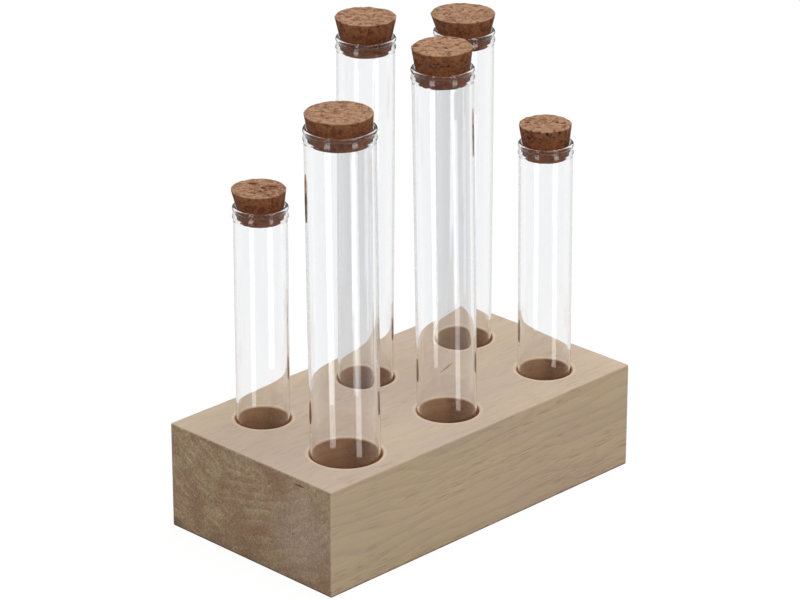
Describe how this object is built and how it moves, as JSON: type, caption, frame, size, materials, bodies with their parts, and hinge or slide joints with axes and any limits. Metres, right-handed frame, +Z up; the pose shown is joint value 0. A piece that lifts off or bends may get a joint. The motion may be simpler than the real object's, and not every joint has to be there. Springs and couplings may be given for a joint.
{
  "type": "test tube vase",
  "caption": "Wooden block with blind bores holding loose glass test tubes of different sizes, each closed by a tapered cork, for flower stems or small goods.",
  "frame": {"origin": "middle of the face that the block stands on", "axes": "+Z up, +X along the block's length and its grain, -Y the block's front long side"},
  "size_m": [0.19, 0.101, 0.2213],
  "materials": {
    "pine": "sanded pine, unfinished",
    "glass": "clear thin glass, fire polished at the rim",
    "cork": "pressed cork granules, raw"
  },
  "bodies": {
    "block": {"block": "pine"},
    "front_left_tube": {"tube_front_left": "glass"},
    "front_left_cork": {"cork_front_left": "cork"},
    "front_middle_tube": {"tube_front_middle": "glass"},
    "front_middle_cork": {"cork_front_middle": "cork"},
    "front_right_tube": {"tube_front_right": "glass"},
    "front_right_cork": {"cork_front_right": "cork"},
    "back_left_tube": {"tube_back_left": "glass"},
    "back_left_cork": {"cork_back_left": "cork"},
    "back_middle_tube": {"tube_back_middle": "glass"},
    "back_middle_cork": {"cork_back_middle": "cork"},
    "back_right_tube": {"tube_back_right": "glass"},
    "back_right_cork": {"cork_back_right": "cork"}
  },
  "joints": [
    {"name": "front_left_tube_lift", "type": "slide", "parent": "block", "child": "front_left_tube", "axis": [-0.007, 0.007, 1], "range_m": [0, 0.06]},
    {"name": "front_left_cork_pull", "type": "slide", "parent": "front_left_tube", "child": "front_left_cork", "axis": [-0.007, 0.007, 1], "range_m": [0, 0.04]},
    {"name": "front_middle_tube_lift", "type": "slide", "parent": "block", "child": "front_middle_tube", "axis": [-0.0119, 0.0119, 0.9999], "range_m": [0, 0.06]},
    {"name": "front_middle_cork_pull", "type": "slide", "parent": "front_middle_tube", "child": "front_middle_cork", "axis": [-0.0119, 0.0119, 0.9999], "range_m": [0, 0.04]},
    {"name": "front_right_tube_lift", "type": "slide", "parent": "block", "child": "front_right_tube", "axis": [-0.0055, 0.0055, 1], "range_m": [0, 0.06]},
    {"name": "front_right_cork_pull", "type": "slide", "parent": "front_right_tube", "child": "front_right_cork", "axis": [-0.0055, 0.0055, 1], "range_m": [0, 0.04]},
    {"name": "back_left_tube_lift", "type": "slide", "parent": "block", "child": "back_left_tube", "axis": [0.0009, -0.0009, 1], "range_m": [0, 0.06]},
    {"name": "back_left_cork_pull", "type": "slide", "parent": "back_left_tube", "child": "back_left_cork", "axis": [0.0009, -0.0009, 1], "range_m": [0, 0.04]},
    {"name": "back_middle_tube_lift", "type": "slide", "parent": "block", "child": "back_middle_tube", "axis": [0.0038, -0.0038, 1], "range_m": [0, 0.06]},
    {"name": "back_middle_cork_pull", "type": "slide", "parent": "back_middle_tube", "child": "back_middle_cork", "axis": [0.0038, -0.0038, 1], "range_m": [0, 0.04]},
    {"name": "back_right_tube_lift", "type": "slide", "parent": "block", "child": "back_right_tube", "axis": [0.0003, -0.0003, 1], "range_m": [0, 0.06]},
    {"name": "back_right_cork_pull", "type": "slide", "parent": "back_right_tube", "child": "back_right_cork", "axis": [0.0003, -0.0003, 1], "range_m": [0, 0.04]}
  ]
}
